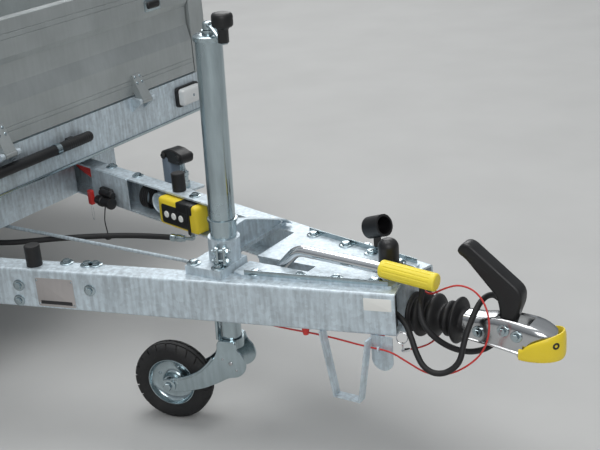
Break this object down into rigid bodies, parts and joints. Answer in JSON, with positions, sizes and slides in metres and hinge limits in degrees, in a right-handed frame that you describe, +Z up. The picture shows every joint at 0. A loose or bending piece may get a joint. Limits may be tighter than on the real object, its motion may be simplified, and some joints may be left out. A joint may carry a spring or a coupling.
{
  "type": "tandem-axle tipper trailer",
  "caption": "Road tipper trailer with a V drawbar, overrun coupling, jockey wheel, tandem wheels, drop sides and a rear-tipping bed on a telescopic ram.",
  "frame": {"origin": "centre of the bounding box on the ground", "axes": "+X forward along the drawbar, +Y the trailer's left, +Z up"},
  "size_m": [4.7847, 1.906, 1.012],
  "materials": {
    "aluminium": "anodised, satin",
    "black_plastic": "satin",
    "black_steel": "satin",
    "chrome": "bright",
    "galvanised": "hot-dip galvanised, dull spangle",
    "lamp_red": "gloss",
    "lamp_white": "gloss",
    "red_cable": "satin",
    "rubber": "matt",
    "steel": "ground",
    "tyre": "matt",
    "yellow_plastic": "satin",
    "zinc": "bright zinc plate"
  },
  "bodies": {
    "chassis": {"drawbar_leg_left": "galvanised", "drawbar_leg_right": "galvanised", "chassis_rails": "galvanised", "cross_members": "galvanised", "ram_cradle": "galvanised", "rear_hinge": "galvanised", "axles": "galvanised", "mudguards": "black_plastic", "overrun_housing": "zinc", "coupling_bellows": "rubber", "coupling_head": "zinc", "soft_dock": "yellow_plastic", "jockey_outer_tube": "zinc", "jockey_bracket": "galvanised", "rubber_buffers": "rubber", "hand_pump": "black_plastic", "battery_switch": "black_plastic", "remote_control": "yellow_plastic", "plug_holder": "black_plastic", "parking_strap": "galvanised", "power_pack": "black_plastic", "lamp_bar": "galvanised", "tail_lamps": "lamp_red", "brake_rod": "galvanised", "lead_plug": "black_plastic", "plug_lead": "rubber", "breakaway_cable": "red_cable", "hydraulic_line": "rubber"},
    "bed": {"bed_frame": "galvanised", "bed_bearers": "galvanised", "bed_floor": "aluminium", "corner_posts": "aluminium", "marker_lamps": "lamp_white", "pump_lever": "black_plastic"},
    "front_board": {"front_board": "aluminium"},
    "side_board_left": {"side_board_left": "aluminium"},
    "side_board_right": {"side_board_right": "aluminium"},
    "tailgate": {"tailgate": "aluminium"},
    "coupling_handle": {"coupling_handle": "black_plastic"},
    "handbrake": {"handbrake_lever": "chrome", "handbrake_grip": "yellow_plastic"},
    "jockey_crank": {"jockey_crank": "zinc"},
    "jockey_leg": {"jockey_inner_tube": "zinc"},
    "jockey_fork": {"jockey_fork": "zinc"},
    "jockey_wheel": {"jockey_tyre": "rubber", "jockey_rim": "zinc"},
    "ram_barrel": {"ram_barrel": "black_steel"},
    "ram_stage_1": {"ram_stage_1": "steel"},
    "ram_stage_2": {"ram_stage_2": "steel"},
    "ram_stage_3": {"ram_stage_3": "steel"},
    "ram_rod": {"ram_rod": "steel"},
    "wheel_front_left": {"tyre_front_left": "tyre", "rim_front_left": "zinc"},
    "wheel_front_right": {"tyre_front_right": "tyre", "rim_front_right": "zinc"},
    "wheel_rear_left": {"tyre_rear_left": "tyre", "rim_rear_left": "zinc"},
    "wheel_rear_right": {"tyre_rear_right": "tyre", "rim_rear_right": "zinc"}
  },
  "joints": [
    {"name": "bed_tip", "type": "hinge", "parent": "chassis", "child": "bed", "pos_m": [-2.2525, 0, 0.45], "axis": [0, -1, 0], "range_deg": [0, 45]},
    {"name": "front_board_hinge", "type": "hinge", "parent": "bed", "child": "front_board", "pos_m": [0.8375, 0, 0.568], "axis": [0, 1, 0], "range_deg": [0, 109]},
    {"name": "side_board_left_hinge", "type": "hinge", "parent": "bed", "child": "side_board_left", "pos_m": [-0.7925, 0.944, 0.568], "axis": [-1, 0, 0], "range_deg": [0, 178]},
    {"name": "side_board_right_hinge", "type": "hinge", "parent": "bed", "child": "side_board_right", "pos_m": [-0.7925, -0.944, 0.568], "axis": [1, 0, 0], "range_deg": [0, 178]},
    {"name": "tailgate_hinge", "type": "hinge", "parent": "bed", "child": "tailgate", "pos_m": [-2.3775, 0, 0.895], "axis": [0, 1, 0], "range_deg": [0, 110]},
    {"name": "wheel_front_left_spin", "type": "hinge", "parent": "chassis", "child": "wheel_front_left", "pos_m": [-0.6525, 0.7625, 0.2625], "axis": [0, 1, 0], "continuous": true},
    {"name": "wheel_front_right_spin", "type": "hinge", "parent": "chassis", "child": "wheel_front_right", "pos_m": [-0.6525, -0.7625, 0.2625], "axis": [0, 1, 0], "continuous": true},
    {"name": "wheel_rear_left_spin", "type": "hinge", "parent": "chassis", "child": "wheel_rear_left", "pos_m": [-1.3725, 0.7625, 0.2625], "axis": [0, 1, 0], "continuous": true},
    {"name": "wheel_rear_right_spin", "type": "hinge", "parent": "chassis", "child": "wheel_rear_right", "pos_m": [-1.3725, -0.7625, 0.2625], "axis": [0, 1, 0], "continuous": true},
    {"name": "coupling_handle_lift", "type": "hinge", "parent": "chassis", "child": "coupling_handle", "pos_m": [2.2695, 0, 0.35], "axis": [0, 1, 0], "range_deg": [0, 30]},
    {"name": "handbrake_pull", "type": "hinge", "parent": "chassis", "child": "handbrake", "pos_m": [1.6875, -0.05, 0.365], "axis": [0, -1, 0], "range_deg": [0, 68]},
    {"name": "jockey_crank_turn", "type": "hinge", "parent": "chassis", "child": "jockey_crank", "pos_m": [1.63065, -0.1, 0.94942], "axis": [0.0349, 0, 0.9994], "continuous": true},
    {"name": "jockey_slide", "type": "slide", "parent": "chassis", "child": "jockey_leg", "axis": [0.0349, 0, 0.9994], "range_m": [-0.1, 0.085]},
    {"name": "jockey_swivel", "type": "hinge", "parent": "jockey_leg", "child": "jockey_fork", "pos_m": [1.60553, -0.1, 0.22986], "axis": [0.0349, 0, 0.9994], "continuous": true},
    {"name": "jockey_wheel_spin", "type": "hinge", "parent": "jockey_fork", "child": "jockey_wheel", "pos_m": [1.44565, -0.13871, 0.10009], "axis": [-0.2418, 0.9703, 0.0084], "continuous": true},
    {"name": "ram_tilt", "type": "hinge", "parent": "chassis", "child": "ram_barrel", "pos_m": [-1.0525, 0, 0.228], "axis": [0, -1, 0], "range_deg": [0, 20.15]},
    {"name": "ram_stage_1_slide", "type": "slide", "parent": "ram_barrel", "child": "ram_stage_1", "axis": [0, 0, 1], "range_m": [0, 0.2244]},
    {"name": "ram_stage_2_slide", "type": "slide", "parent": "ram_stage_1", "child": "ram_stage_2", "axis": [0, 0, 1], "range_m": [0, 0.2244]},
    {"name": "ram_stage_3_slide", "type": "slide", "parent": "ram_stage_2", "child": "ram_stage_3", "axis": [0, 0, 1], "range_m": [0, 0.2244]},
    {"name": "ram_rod_slide", "type": "slide", "parent": "ram_stage_3", "child": "ram_rod", "axis": [0, 0, 1], "range_m": [0, 0.2244]}
  ],
  "couplings": [
    {"joint": "ram_tilt", "follows": "bed_tip", "ratio": 0.44673},
    {"joint": "ram_stage_1_slide", "follows": "bed_tip", "m_per_rad": 0.28513},
    {"joint": "ram_stage_2_slide", "follows": "bed_tip", "m_per_rad": 0.28513},
    {"joint": "ram_stage_3_slide", "follows": "bed_tip", "m_per_rad": 0.28513},
    {"joint": "ram_rod_slide", "follows": "bed_tip", "m_per_rad": 0.28513}
  ]
}
